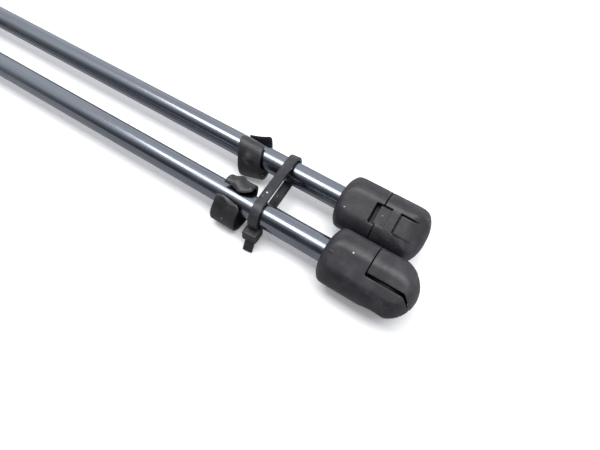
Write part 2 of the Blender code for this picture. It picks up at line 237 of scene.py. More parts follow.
def settled(obj, tools):
    """The points and triangles of an object with all its modifiers worked out."""
    graph = bpy.context.evaluated_depsgraph_get()
    mesh = bpy.data.meshes.new_from_object(obj.evaluated_get(graph))
    mesh.calc_loop_triangles()
    points = np.empty(len(mesh.vertices) * 3)
    mesh.vertices.foreach_get("co", points)
    tris = np.empty(len(mesh.loop_triangles) * 3, dtype=np.int64)
    mesh.loop_triangles.foreach_get("vertices", tris)
    unlink(obj, *tools)
    bpy.data.meshes.remove(mesh)
    return points.reshape(-1, 3), tris.reshape(-1, 3)


# ================================================================ the ball socket's two mouldings
def square_radius(a):
    """Distance from the middle to a rounded square's edge at angle a: a flat gives half / |cos|, and a corner
    gives d + sqrt(d^2 - 2 m^2 + R^2), d being the direction's share of the corner centre (m, m)."""
    c, s = np.abs(np.cos(a)), np.abs(np.sin(a))
    m = SOCKET_HALF - SOCKET_CORNER
    flat = SOCKET_HALF / np.maximum(c, s)
    d = m * (c + s)
    corner = d + np.sqrt(np.maximum(d * d - 2 * m * m + SOCKET_CORNER**2, 0))
    return np.where(flat * np.minimum(c, s) <= m, flat, corner)


def socket_body():
    """Rings of the whole socket's outside: the turned blank's radius eased into the rounded square's and,
    over the nose, into a round of the nose's own radius seen from the side: sqrt(nose^2 - x^2) / |sin
    a|."""
    t = np.sin(np.linspace(0.01, math.pi / 2, 26))
    nose = np.stack([NOSE * (1 - t**2.4) ** (1 / 2.4), BLANK_R * t], -1)
    straight = np.stack([np.linspace(0, COLLAR_END + 6.4, 26)[1:-1], np.full(24, BLANK_R)], -1)
    a = np.linspace(0, math.pi / 2, 20)
    heel = np.stack([COLLAR_END + 6.4 * (1 - np.sin(a)), 4.6 + 6.0 * np.cos(a)], -1)
    face = np.array([[COLLAR_END, 3.0], [COLLAR_END, 1.0]])
    outline = np.concatenate([nose, straight, heel, face])
    angle = np.linspace(0, math.tau, 160, endpoint=False)
    radius = soft_least(square_radius(angle)[None, :], outline[:, 1:2], 0.9)
    crown = np.sqrt(np.maximum(NOSE**2 - np.maximum(outline[:, :1], 0) ** 2, 1e-4))
    radius = soft_least(radius, crown / np.maximum(np.abs(np.sin(angle)), 0.05)[None, :], 0.5)
    radius = np.maximum(radius, 0.02)
    x = np.broadcast_to(outline[:, :1], radius.shape)
    return np.stack([x, radius * np.cos(angle), radius * np.sin(angle)], -1)


def dipped_block(low, high, drop):
    """A box whose underside dips over the nose: its lower side at x is low_z - drop ((x - 5) / 3.6)^1.5."""
    x = np.concatenate([[low[0]], np.linspace(4.5, high[0], 40)])
    under = low[2] - drop * np.clip((x - 5.0) / 3.6, 0, 1) ** 1.5
    across = np.array([(low[1], 1.0), (low[1], 0.0), (high[1], 0.0), (high[1], 1.0)])
    y = np.broadcast_to(across[:, 0], (len(x), 4))
    z = np.where(across[:, 1] > 0, high[2], under[:, None])
    return np.stack([np.broadcast_to(x[:, None], y.shape), y, z], -1)


def ball_room():
    """Ball space with its snap-in neck and lead-in, turned round the mouth's axis and pointed down."""
    a = np.radians(np.linspace(1, 106, 22))
    drop = math.sqrt(BALL_R**2 - NECK_R**2)
    profile = np.stack([BALL_R * np.cos(a), BALL_R * np.sin(a)], -1)
    profile = np.concatenate([profile[profile[:, 0] > -drop], [
        (-drop, NECK_R), (-7.2, NECK_R), (-7.6, NECK_R + 0.25), (-9.2, 6.5), (-12, 6.5), (-12, 0.1)]])
    rings = turned(profile, 72)
    return np.stack([rings[..., 1], rings[..., 2], rings[..., 0]], -1)


def with_mould_line(points):
    """Trace of the line where the mould parted: points near MOULD_LINE_Z move out from the axis by
    rise exp(-((z - line z) / reach)^2). It reaches only the rounded end of the collar, because the flat sides
    have no points at that height."""
    outward = points * (0, 1, 1)
    reach = np.linalg.norm(outward, axis=1, keepdims=True)
    outside = (reach > 8.2) | (points[:, :1] < COLLAR_END + 1.5)
    line = MOULD_LINE_RISE * np.exp(-((points[:, 2:] - MOULD_LINE_Z) / MOULD_LINE_REACH) ** 2)
    return points + outward / np.maximum(reach, 1e-6) * line * outside


def socket_housing():
    """Collar, lower half and ball core: the body less the lock's room, plus the core, less its holes."""
    obj = link(skin("housing", socket_body()))
    bore = turned([(-7.7, 0.1), (-7.7, 4.0), (-17.7, 4.0), (-17.7, 4.3), (-24, 4.3), (-24, 0.1)], 72)
    tools = carve(obj, [
        ("DIFFERENCE", dipped_block((SPLIT, -12, -0.5), (14, 12, 12), HOUSING_DIP)),
        ("UNION", slid_cylinder(6.2, -2, 6.4, 2, 1.2)),
        ("UNION", slid_cylinder(7.1, -2, 0.2, 0.2, 0.2)),
        ("DIFFERENCE", ball_room()),
        ("DIFFERENCE", bore),
        ("DIFFERENCE", block((-8.6, -3.3, 5.6), (-5.5, 3.3, 12), 0.15)),
    ])
    soften(obj, 0.15, 4, 0.45)
    points, tris = settled(obj, tools)
    return with_mould_line(points), tris


def nose_pad():
    """The lock's square pad: rounded outlines along X whose top follows the nose's round, sqrt(nose^2 -
    x^2), or the flat side where that is lower, a little proud of it."""
    x = np.linspace(-0.2, 5.9, 18)
    crown = np.minimum(np.sqrt(NOSE**2 - x**2), SOCKET_HALF) + 0.14
    rings = []
    for station, top, inset in zip(x, crown, np.where((x < 0) | (x > 5.8), 0.12, 0.0)):
        ring = rounded_outline(3.1 - inset, (top - 5.3) / 2 - inset, 0.25, 5)
        rings.append(np.column_stack([np.full(len(ring), station), ring + (0.0, (top + 5.3) / 2)]))
    return np.array(rings)


def socket_lock():
    """The lock half: the body's upper nose hollowed over the core, with its tongue, pad and slits."""
    obj = link(skin("lock", socket_body()))
    tools = carve(obj, [
        ("INTERSECT", dipped_block((SPLIT + 0.3, -12, 0.5), (14, 12, 12), LOCK_DIP)),
        ("DIFFERENCE", slid_cylinder(7.4, -4, 0.5, 0.2, 0.2)),
        ("UNION", block((-7.0, -3.0, 6.9), (-3.4, 3.0, 8.7), 0.15)),
        ("DIFFERENCE", block((-8.0, -3.0, 8.7), (-3.4, 3.0, 12), 0.05)),
        ("UNION", nose_pad()),
        ("DIFFERENCE", slid_cylinder(6.5, -3, 6.7, 9, 1.2)),
        ("DIFFERENCE", block((-8.0, 3.0, 7.3), (-3.3, 3.45, 12), 0.05)),
        ("DIFFERENCE", block((-0.65, -3.1, 8.0), (-0.2, 3.5, 12), 0.05)),
        ("DIFFERENCE", block((-0.65, 3.1, 7.3), (5.6, 3.55, 12), 0.05)),
    ])
    soften(obj, 0.13, 3, 0.45)
    return settled(obj, tools)


def placed_moulding(name, points, tris, matrix):
    """A moulding carried to its place, which also keeps its own unplaced metres as an attribute."""
    m = np.array(matrix)
    world = points * MM @ m[:3, :3].T + m[:3, 3]
    mesh = bpy.data.meshes.new(name)
    mesh.vertices.add(len(world))
    mesh.vertices.foreach_set("co", world.ravel())
    mesh.loops.add(tris.size)
    mesh.loops.foreach_set("vertex_index", tris.ravel())
    mesh.polygons.add(len(tris))
    mesh.polygons.foreach_set("loop_start", np.arange(0, tris.size, 3))
    mesh.polygons.foreach_set("use_smooth", np.ones(len(tris), dtype=bool))
    own = mesh.attributes.new("moulding", "FLOAT_VECTOR", "POINT")
    own.data.foreach_set("vector", (points * MM).ravel())
    mesh.update(calc_edges=True)
    mesh.set_sharp_from_angle(angle=CREASE)
    return link(mesh)


# ================================================================ places, read from the frame
MOUNTS = {mount["name"]: mount for mount in frame["record"]["mounts"]}


def ball_place(end, nose):
    """Turn and place of a socket from its flat seat: the ball lies half a section in and a little toward
    the nose, Z looks from the seat to the lock, X to the nose, and Y is Z cross X."""
    seat = MOUNTS[f"{end}_seat"]
    inward = -np.array(seat["axis"])
    ahead = np.array([nose, 0.0, 0.0])
    place = np.eye(4)
    place[:3, 0] = ahead
    place[:3, 1] = np.cross(inward, ahead)
    place[:3, 2] = inward
    place[:3, 3] = np.array(seat["pos_m"]) + (inward * SOCKET_HALF + ahead * BALL_FROM_SEAT) * MM
    return place


BALL = {side: ball_place(f"{side}_rod_end", 1)[:3, 3] for side in ("near", "far")}


def from_ball(side, x=0.0):
    """Place without a turn, x millimetres along the strut from its rod-end ball."""
    place = np.eye(4)
    place[:3, 3] = BALL[side] + np.array([x * MM, 0.0, 0.0])
    return place


# ================================================================ rod and tube
def eased(corners, radius, closed=False, steps=4):
    """Profile with soft corners: each corner c becomes (1-t)^2 a + 2t(1-t) c + t^2 b between points a and b
    at the radius before and after it, with one more point past each to hold the straight stretches
    straight."""
    corner = np.asarray(corners, float)
    before = np.roll(corner, 1, 0) - corner
    after = np.roll(corner, -1, 0) - corner
    reach_before = np.linalg.norm(before, axis=1, keepdims=True)
    reach_after = np.linalg.norm(after, axis=1, keepdims=True)
    r = np.minimum(radius, 0.24 * np.minimum(reach_before, reach_after))
    before, after = before / reach_before, after / reach_after
    t = np.linspace(0, 1, steps + 1)[None, :, None]
    a, b = (corner + before * r)[:, None], (corner + after * r)[:, None]
    bend = (1 - t) ** 2 * a + 2 * t * (1 - t) * corner[:, None] + t * t * b
    bend = np.concatenate([(corner + 2 * before * r)[:, None], bend, (corner + 2 * after * r)[:, None]], 1)
    if closed:
        return bend.reshape(-1, 2)
    return np.concatenate([corner[:1], bend[1:-1].reshape(-1, 2), corner[-1:]])


def rod_profile():
    """Stub in the socket, polished length, shoulder and riveted tenon."""
    m = TUBE_MOUTH
    return eased([
        (-8.0, 0.05), (-8.0, 3.7), (-18.0, 3.7), (-18.0, ROD_R), (-m - 27.0, ROD_R), (-m - 27.0, 3.0),
        (-m - 41.5, 3.0), (-m - 41.5, 0.05)], 0.3)


def tube_profile():
    """Outside and inside of the drawn tube: both ends rolled in, a rolled bead behind each."""
    m, e, r, i = -TUBE_MOUTH, -TUBE_END, TUBE_R, TUBE_R - 1.0
    outside = [(m, 5.5), (m, 7.2), (m - 1.0, 8.7), (m - 3.0, r)]
    outside += [(m - 19.6, r), (m - 20.6, 8.5), (m - 21.2, 8.5), (m - 22.2, r)]
    outside += [(e + 12.2, r), (e + 11.2, 8.5), (e + 10.8, 8.5), (e + 9.8, r)]
    outside += [(e + 3.0, r), (e + 1.0, 8.7), (e, 7.2), (e, 5.5)]
    inside = [(e + 1.5, 5.5), (e + 1.5, 7.3), (e + 2.2, i)]
    inside += [(e + 10.1, i), (e + 10.7, 7.4), (e + 11.3, 7.4), (e + 11.9, i)]
    inside += [(m - 21.9, i), (m - 21.3, 7.4), (m - 20.5, 7.4), (m - 19.9, i)]
    inside += [(m - 2.2, i), (m - 1.5, 7.3), (m - 1.5, 5.5)]
    return eased(outside + inside, 0.9, closed=True)


def lathe(name, profile, side, steps=96, loop=False):
    """A profile measured from a strut's rod-end ball, turned round that strut's axis."""
    return link(skin(name, turned(profile, steps) * MM + BALL[side], loop))


# ================================================================ the rod clips
def bar_outline(half_width, half_wall, edge, across=22):
    """Outline of a flat bar, (s across, t through), with points spread along both long faces and round
    corners."""
    turn = np.linspace(-math.pi / 2, math.pi / 2, 9)
    run = np.linspace(-1, 1, across)[1:-1] * (half_width - edge)
    end = np.stack([half_width - edge + edge * np.cos(turn), half_wall * np.sin(turn)], -1)
    top = np.stack([run[::-1], np.full(len(run), half_wall)], -1)
    return np.concatenate([end, top, -end, -top])


def clip_rings(first, last, radius, skew, yaw, nub):
    """Wall of a clip round a rod, angles in degrees from +Y toward +Z. Ring u, outline point (s, t): angle
    = first(s) + u (last(s) - first(s)), distance = radius(angle, s) + t + nub bump, x = s + skew z + yaw y.
    The wall thins to a rounded lip at both free edges."""
    outline = bar_outline(CLIP_WIDTH / 2, CLIP_WALL / 2, 0.5)
    s, t = outline[None, :, 0], outline[None, :, 1]
    u = np.linspace(0, 1, 90)[:, None]
    angle = first(s) + (last(s) - first(s)) * u
    lip = np.minimum(u, 1 - u) / LIP_SHARE
    taper = np.sqrt(1 - (1 - np.clip(lip, 0.03, 1)) ** 2)
    nub_angle, nub_s, nub_height = nub
    across = ((angle - nub_angle) / 16) ** 2 + ((s - nub_s) / 1.5) ** 2
    bump = nub_height * np.exp(-across) * (t > 0)
    away = radius(angle, s) + t * taper + bump
    a = np.radians(angle)
    y, z = away * np.cos(a), away * np.sin(a)
    return np.stack([s + skew * z + yaw * y, y, z], -1)


def hump(value, middle, half_width):
    """A smooth hump of height 1: exp(-((value - middle) / half_width)^2)."""
    return np.exp(-((value - middle) / half_width) ** 2)


def rested(radius, angle):
    """A radius held back where the wall would reach through the table: r <= height / -sin(angle), eased."""
    down = np.maximum(-np.sin(np.radians(angle)), 0.05)
    return soft_least(radius, CLIP_REST / down, 0.6)


def near_clip():
    """The near rod's clip: it hangs low on the near side, and folds over the rod with a waved free edge."""
    def radius(angle, s):
        sag = 4.6 * np.maximum(np.cos(np.radians(angle - 246)), 0) ** 2
        fold = 1.5 * hump(angle, 415 - 2.6 * s, 30) + 0.9 * hump(angle, 412, 25) * hump(s, -0.9, 1.3)
        return rested(CLIP_R + sag + fold, angle)

    def first(s):
        return 139 + 5 * np.sin(s * 1.1 + 0.6) + 1.2 * s + 20 * hump(s, 5.5, 1.6)

    def last(s):
        return 449 - 0.7 * s + 9 * hump(s, 1.2, 1.6) - 14 * hump(s, 4.8, 1.2)

    return clip_rings(first, last, radius, 0.10, 0.0, (372, 0.6, 0.6))


def far_clip():
    """The far rod's clip, turned the other way, tilted so that its outer end hangs low, with a pressed point
    on its near face and a far leg that stands up toward the tie."""
    def radius(angle, s):
        sag = (3.9 - 0.30 * s) * np.maximum(np.cos(np.radians(angle - 262)), 0) ** 2
        leg = 0.24 * (s + 4.65) * np.clip((angle - 330) / 70, 0, 1) ** 2
        return rested(CLIP_R + sag + leg, angle)

    def first(s):
        return 87 + 3 * np.cos(s * 1.3)

    def last(s):
        return 390 + 2.8 * s - 10 * hump(s, 5.2, 0.9)

    return clip_rings(first, last, radius, -0.12, -0.20, (163, -0.3, 0.9))


# ================================================================ the cable tie
def strap_line(count):
    """Middle line of the strap by distance d: top run, half circle, bottom run, half circle; with its
    outward side. A half circle is centre + r (cos a, sin a) with a growing by d / r."""
    half, r = ROD_SPACING / 2 + 0.1, STRAP_R
    run, bend = 2 * half, math.pi * r
    d = np.linspace(0, 2 * (run + bend), count, endpoint=False)
    angle = math.pi / 2 + np.clip(d - run, 0, bend) / r + np.clip(d - 2 * run - bend, 0, bend) / r
    centre = half - np.clip(d, 0, run) + np.clip(d - run - bend, 0, run)
    out = np.stack([np.cos(angle), np.sin(angle)], -1)
    return d, np.stack([centre, np.zeros(count)], -1) + r * out, out


def toothed_outline():
    """Outline of the strap with two more pairs of points on its inner face, where the teeth lie."""
    outline = rounded_outline(1.6, 0.6, 0.25, 4)
    inner = np.array([(-1.25, -0.6), (-1.1, -0.6), (1.1, -0.6), (1.25, -0.6)])
    return np.insert(outline, 12, inner, axis=0)


def teeth(d):
    """Height of the strap's teeth, a leaning wave: the fraction of d / pitch, eased at its step."""
    f = np.mod(d / TOOTH_PITCH, 1.0)
    return np.minimum(f / 0.7, (1 - f) / 0.3)


def with_teeth(outline, d):
    """Thickness of the outline at each distance: its inner face is drawn in by depth (1 - the wave)."""
    s, t = outline[None, :, 0], outline[None, :, 1]
    toothed = (np.abs(s) < 1.2) & (t < -0.55)
    return t + TOOTH_DEPTH * (1 - teeth(d))[:, None] * toothed


def strap_rings():
    """Strap round both rods: its outline carried along the line, the inner face cut by the teeth."""
    d, line, out = strap_line(8 * round(72.9 / TOOTH_PITCH))
    outline = toothed_outline()
    s, t = outline[None, :, 0], with_teeth(outline, d)
    y = line[:, :1] + out[:, :1] * t
    z = line[:, 1:] + out[:, 1:] * t
    return np.stack([np.broadcast_to(s, y.shape), y, z], -1)


def tail_rings():
    """The cut tail: the toothed outline carried straight out of the head at 60 degrees."""
    d = np.linspace(0, 6.6, 71)
    outline = toothed_outline()
    s, t = outline[None, :, 0], with_teeth(outline, d)
    y = np.broadcast_to(1.2 - d[:, None], t.shape)
    c, n = math.cos(math.radians(60)), math.sin(math.radians(60))
    return np.stack([np.broadcast_to(s, t.shape) + 0.2, y * c - t * n - 16.2, y * n + t * c - 4.9], -1)


def cable_tie():
    """Strap, head and tail as one moulding: the head is a rounded block cleared for the rod."""
    obj = link(skin("tie", strap_rings(), loop=True))
    head = link(skin("tie_head", block((-2.5, -17.9, -6.3), (2.6, -12.9, -2.7), 0.55)))
    skewed = math.radians(-TIE_SKEW)
    rod = turned([(9, 0.1), (9, 4.3), (-9, 4.3), (-9, 0.1)], 64)
    rod = np.stack([
        rod[..., 0] * math.cos(skewed) - rod[..., 1] * math.sin(skewed),
        rod[..., 0] * math.sin(skewed) + rod[..., 1] * math.cos(skewed) - ROD_SPACING / 2,
        rod[..., 2]], -1)
    tools = carve(head, [("DIFFERENCE", rod)])
    head_points, head_tris = settled(head, tools)
    mesh = bpy.data.meshes.new("tie_head_cut")
    mesh.from_pydata(head_points.tolist(), [], head_tris.tolist())
    head = link(mesh)
    tools = carve(obj, [("UNION", tail_rings())])
    mod = obj.modifiers.new("head", "BOOLEAN")
    mod.operation = "UNION"
    mod.solver = "EXACT"
    mod.object = head
    return settled(obj, [*tools, head])


# ================================================================ node groups
def add(tree, kind, *values, put=None, **named):
    """A shader node: values go to its sockets in order and named ones by name, each a number or another
    node."""
    node = tree.nodes.new("ShaderNode" + kind)
    for key, value in (put or {}).items():
        setattr(node, key, value)
    for key, value in [*enumerate(values), *named.items()]:
        socket = node.inputs[key.replace("_", " ") if isinstance(key, str) else key]
        if isinstance(value, bpy.types.Node):
            value = value.outputs[0]
        if isinstance(value, bpy.types.NodeSocket):
            tree.links.new(value, socket)
        elif value is not None:
            socket.default_value = value
    return node


def maths(tree, operation, *values):
    """A Math node of the operation."""
    return add(tree, "Math", *values, put={"operation": operation})


def spread(tree, value, low, high, to_low=0.0, to_high=1.0):
    """The value eased from one range to another."""
    return add(tree, "MapRange", value, low, high, to_low, to_high, put={"interpolation_type": "SMOOTHSTEP"})


def tint(tree, factor, under, over, blend="MIX"):
    """Colour mix: under where the factor is 0, over where it is 1."""
    node = tree.nodes.new("ShaderNodeMix")
    node.data_type = "RGBA"
    node.blend_type = blend
    for index, value in ((0, factor), (6, under), (7, over)):
        if isinstance(value, bpy.types.Node):
            value = value.outputs[0]
        if isinstance(value, bpy.types.NodeSocket):
            tree.links.new(value, node.inputs[index])
        elif index:
            node.inputs[index].default_value = (*value, 1.0)
        else:
            node.inputs[index].default_value = value
    return node.outputs[2]


def group(name, inputs, outputs):
    """An empty node group with its sockets: inputs are (name, kind, value), outputs are names of values."""
    tree = bpy.data.node_groups.new(name, "ShaderNodeTree")
    for label, kind, value in inputs:
        socket = tree.interface.new_socket(label, in_out="INPUT", socket_type="NodeSocket" + kind)
        if value is not None:
            socket.default_value = value
    for label in outputs:
        tree.interface.new_socket(label, in_out="OUTPUT", socket_type="NodeSocketFloat")
    return tree, tree.nodes.new("NodeGroupInput").outputs, tree.nodes.new("NodeGroupOutput").inputs


def moulded_grain():
    """Fine pebble of a spark-eroded mould, and a slow change of tone."""
    tree, given, out = group(
        "moulded_grain", [("Vector", "Vector", None), ("Scale", "Float", 3000.0)], ["Height", "Mottle"])
    fine = add(tree, "TexNoise", Vector=given["Vector"], Scale=given["Scale"], Detail=5.0, Roughness=0.6)
    cell_scale = maths(tree, "MULTIPLY", given["Scale"], 0.6)
    slow_scale = maths(tree, "MULTIPLY", given["Scale"], 0.06)
    cells = add(tree, "TexVoronoi", Vector=given["Vector"], Scale=cell_scale)
    slow = add(tree, "TexNoise", Vector=given["Vector"], Scale=slow_scale, Detail=3.0)
    height = maths(tree, "ADD", maths(tree, "MULTIPLY", fine, 0.6), maths(tree, "MULTIPLY", cells, 0.5))
    tree.links.new(height.outputs[0], out["Height"])
    tree.links.new(spread(tree, slow, 0.35, 0.68).outputs[0], out["Mottle"])
    return tree


def edge_wear_and_highlight():
    """Scuffed edges and a painted edge highlight: where the surface is convex, broken up by noise."""
    tree, given, out = group("edge_wear_and_highlight", [
        ("Vector", "Vector", None), ("From", "Float", 0.52),
        ("To", "Float", 0.6), ("Breakup", "Float", 900.0),
    ], ["Mask"])
    shape = tree.nodes.new("ShaderNodeNewGeometry").outputs["Pointiness"]
    sharp = add(tree, "MapRange", shape, given["From"], given["To"])
    broken = add(tree, "TexNoise", Vector=given["Vector"], Scale=given["Breakup"], Detail=6.0, Roughness=0.7)
    tree.links.new(maths(tree, "MULTIPLY", sharp, spread(tree, broken, 0.38, 0.62)).outputs[0], out["Mask"])
    return tree


def settled_dust():
    """Pale specks of uneven size and a thin film, both only where the surface looks up."""
    tree, given, out = group("settled_dust", [
        ("Vector", "Vector", None), ("Density", "Float", 500.0), ("Size", "Float", 0.16),
    ], ["Specks", "Film"])
    cells = add(tree, "TexVoronoi", Vector=given["Vector"], Scale=given["Density"])
    chance = add(tree, "SeparateColor", cells.outputs["Color"])
    big = maths(tree, "MULTIPLY", maths(tree, "POWER", chance, 4.0), given["Size"])
    speck = spread(tree, maths(tree, "SUBTRACT", big, cells.outputs["Distance"]), 0.0, 0.03)
    normal = tree.nodes.new("ShaderNodeNewGeometry").outputs["Normal"]
    up = spread(tree, add(tree, "SeparateXYZ", normal).outputs["Z"], -0.2, 0.7)
    haze = add(tree, "TexNoise", Vector=given["Vector"], Scale=260.0, Detail=8.0, Roughness=0.65)
    tree.links.new(maths(tree, "MULTIPLY", speck, up).outputs[0], out["Specks"])
    tree.links.new(maths(tree, "MULTIPLY", spread(tree, haze, 0.4, 0.75), up).outputs[0], out["Film"])
    return tree


def handling_smudges():
    """Soft patches left by hands and cloths."""
    tree, given, out = group(
        "handling_smudges", [("Vector", "Vector", None), ("Scale", "Float", 60.0)], ["Mask"])
    patch = add(tree, "TexNoise", Vector=given["Vector"], Scale=given["Scale"], Detail=4.0, Distortion=1.2)
    tree.links.new(spread(tree, patch, 0.42, 0.72).outputs[0], out["Mask"])
    return tree


def tool_lines():
    """Fine lines of grinding or drawing: noise pulled out by different scales along X and across it."""
    tree, given, out = group("tool_lines", [
        ("Vector", "Vector", None), ("Along", "Float", 20.0), ("Across", "Float", 1500.0),
    ], ["Lines"])
    pull = add(tree, "CombineXYZ", given["Along"], given["Across"], given["Across"])
    pulled = add(tree, "VectorMath", given["Vector"], pull, put={"operation": "MULTIPLY"})
    noise = add(tree, "TexNoise", Vector=pulled, Scale=1.0, Detail=4.0, Roughness=0.65)
    tree.links.new(noise.outputs[0], out["Lines"])
    return tree


GRAIN, WEAR_AND_HIGHLIGHT, DUST, SMUDGES, LINES = (
    make() for make in (moulded_grain, edge_wear_and_highlight, settled_dust, handling_smudges, tool_lines))


def effect(tree, made, **named):
    """One of the shared effects placed in a material with its own values."""
    node = tree.nodes.new("ShaderNodeGroup")
    node.node_tree = made
    for key, value in named.items():
        if isinstance(value, bpy.types.NodeSocket):
            tree.links.new(value, node.inputs[key])
        else:
            node.inputs[key].default_value = value
    return node.outputs


# ================================================================ materials
def finish_of(name, metallic):
    """A new material: its tree and its shader."""
    made = bpy.data.materials.new(name)
    made.use_nodes = True
    shader = made.node_tree.nodes["Principled BSDF"]
    shader.inputs["Metallic"].default_value = metallic
    return made, made.node_tree, shader


def own_place(tree, moulded):
    """Where a point lies on its piece: the moulding's own metres, or the object's."""
    if moulded:
        node = tree.nodes.new("ShaderNodeAttribute")
        node.attribute_name = "moulding"
        return node.outputs["Vector"]
    return tree.nodes.new("ShaderNodeTexCoord").outputs["Object"]


def moulded_plastic(
        name, dark, pale, gloss, pebble=2600.0, depth=0.35, specks=420.0, film=0.06, moulded=True):
    """Dark moulded plastic: slow tone change, pebble, lighter edges that are partly scuffs and partly a
    painted edge highlight, specks and film of dust, uneven sheen."""
    made, tree, shader = finish_of(name, 0.0)
    where = own_place(tree, moulded)
    grain = effect(tree, GRAIN, Vector=where, Scale=pebble)
    wear_and_highlight = effect(tree, WEAR_AND_HIGHLIGHT, Vector=where, From=0.515, To=0.60, Breakup=1100.0)
    dust = effect(tree, DUST, Vector=where, Density=specks, Size=0.17)
    smudge = effect(tree, SMUDGES, Vector=where, Scale=90.0)
    colour = tint(tree, grain["Mottle"], dark, pale)
    # lighter convex edges: partly scuffs, partly a painted edge highlight along the rims
    colour = tint(tree, maths(tree, "MULTIPLY", wear_and_highlight["Mask"], 0.30), colour, [c + 0.09 for c in pale])
    colour = tint(tree, maths(tree, "MULTIPLY", dust["Film"], film), colour, (0.36, 0.35, 0.34))
    colour = tint(tree, dust["Specks"], colour, (0.62, 0.61, 0.58))
    rough = spread(tree, grain["Height"], 0.2, 0.9, gloss - 0.05, gloss + 0.07)
    rough = maths(tree, "ADD", rough, maths(tree, "MULTIPLY", smudge["Mask"], 0.10))
    rough = maths(tree, "ADD", rough, maths(tree, "MULTIPLY", dust["Specks"], 0.3))
    height = maths(tree, "ADD", grain["Height"], maths(tree, "MULTIPLY", dust["Specks"], 2.0))
    bump = add(tree, "Bump", Strength=depth, Distance=0.00004, Height=height)
    tree.links.new(colour, shader.inputs["Base Color"])
    tree.links.new(rough.outputs[0], shader.inputs["Roughness"])
    tree.links.new(bump.outputs[0], shader.inputs["Normal"])
    return made


def polished_rod():
    """Dark ground and polished steel: lines round the rod, streaks along it, smudges and a few dust
    specks."""
    made, tree, shader = finish_of("polished_rod_steel", 1.0)
    where = own_place(tree, False)
    round_lines = effect(tree, LINES, Vector=where, Along=9000.0, Across=120.0)["Lines"]
    streaks = effect(tree, LINES, Vector=where, Along=14.0, Across=1400.0)["Lines"]
    smudge = effect(tree, SMUDGES, Vector=where, Scale=45.0)["Mask"]
    dust = effect(tree, DUST, Vector=where, Density=330.0, Size=0.06)
    colour = tint(tree, spread(tree, streaks, 0.35, 0.7), (0.21, 0.23, 0.26), (0.27, 0.29, 0.32))
    colour = tint(tree, maths(tree, "MULTIPLY", smudge, 0.35), colour, (0.18, 0.19, 0.22))
    colour = tint(tree, dust["Specks"], colour, (0.5, 0.5, 0.5))
    rough = spread(tree, round_lines, 0.3, 0.7, 0.16, 0.21)
    rough = maths(tree, "ADD", rough, maths(tree, "MULTIPLY", smudge, 0.10))
    height = maths(tree, "ADD", round_lines, maths(tree, "MULTIPLY", streaks, 0.5))
    bump = add(tree, "Bump", Strength=0.10, Distance=0.00001, Height=height)
    tree.links.new(colour, shader.inputs["Base Color"])
    tree.links.new(rough.outputs[0], shader.inputs["Roughness"])
    tree.links.new(bump.outputs[0], shader.inputs["Normal"])
    return made


def tube_paint():
    """Black enamel over steel: orange peel, drawing lines through it, rubbed bright rims, dust and smears."""
    made, tree, shader = finish_of("tube_black_enamel", 0.0)
    where = own_place(tree, False)
    peel = add(tree, "TexNoise", Vector=where, Scale=750.0, Detail=2.0, Roughness=0.4)
    lines = effect(tree, LINES, Vector=where, Along=10.0, Across=2600.0)["Lines"]
    wear_and_highlight = effect(tree, WEAR_AND_HIGHLIGHT, Vector=where, From=0.512, To=0.56, Breakup=500.0)["Mask"]
    dust = effect(tree, DUST, Vector=where, Density=240.0, Size=0.07)
    smudge = effect(tree, SMUDGES, Vector=where, Scale=32.0)["Mask"]
    scratch = spread(tree, lines, 0.70, 0.78)
    colour = tint(tree, spread(tree, peel, 0.3, 0.7), (0.012, 0.012, 0.014), (0.020, 0.020, 0.022))
    colour = tint(tree, maths(tree, "MULTIPLY", scratch, 0.25), colour, (0.10, 0.10, 0.10))
    colour = tint(tree, maths(tree, "MULTIPLY", dust["Film"], 0.06), colour, (0.35, 0.34, 0.33))
    colour = tint(tree, dust["Specks"], colour, (0.5, 0.49, 0.47))
    colour = tint(tree, wear_and_highlight, colour, (0.42, 0.42, 0.43))
    rough = spread(tree, smudge, 0.0, 1.0, 0.27, 0.40)
    rough = maths(tree, "ADD", rough, maths(tree, "MULTIPLY", scratch, 0.2))
    height = maths(tree, "SUBTRACT", peel, maths(tree, "MULTIPLY", scratch, 0.2))
    bump = add(tree, "Bump", Strength=0.35, Distance=0.00006, Height=height)
    tree.links.new(colour, shader.inputs["Base Color"])
    tree.links.new(rough.outputs[0], shader.inputs["Roughness"])
    tree.links.new(wear_and_highlight, shader.inputs["Metallic"])
    tree.links.new(bump.outputs[0], shader.inputs["Normal"])
    return made


def machined_metal(name, dark, bright, gloss, pits=0.0):
    """Turned or sintered metal: tool lines, brighter edges, darker oiled patches, and pits where it is
    porous."""
    made, tree, shader = finish_of(name, 1.0)
    where = own_place(tree, False)
    lines = effect(tree, LINES, Vector=where, Along=300.0, Across=2200.0)["Lines"]
    wear_and_highlight = effect(tree, WEAR_AND_HIGHLIGHT, Vector=where, From=0.51, To=0.60, Breakup=700.0)["Mask"]
    smudge = effect(tree, SMUDGES, Vector=where, Scale=150.0)["Mask"]
    pores = add(tree, "TexVoronoi", Vector=where, Scale=2400.0)
    pore = spread(tree, pores, 0.05, 0.25)
    colour = tint(tree, spread(tree, lines, 0.3, 0.7), dark, bright)
    colour = tint(tree, maths(tree, "MULTIPLY", smudge, 0.4), colour, [c * 0.6 for c in dark])
    colour = tint(tree, wear_and_highlight, colour, [min(1.0, c * 1.3) for c in bright])
    rough = spread(tree, lines, 0.3, 0.7, gloss - 0.06, gloss + 0.08)
    rough = maths(tree, "SUBTRACT", rough, maths(tree, "MULTIPLY", smudge, 0.12))
    height = maths(tree, "ADD", maths(tree, "MULTIPLY", lines, 0.4), maths(tree, "MULTIPLY", pore, pits))
    bump = add(tree, "Bump", Strength=0.3, Distance=0.00003, Height=height)
    tree.links.new(colour, shader.inputs["Base Color"])
    tree.links.new(rough.outputs[0], shader.inputs["Roughness"])
    tree.links.new(bump.outputs[0], shader.inputs["Normal"])
    return made


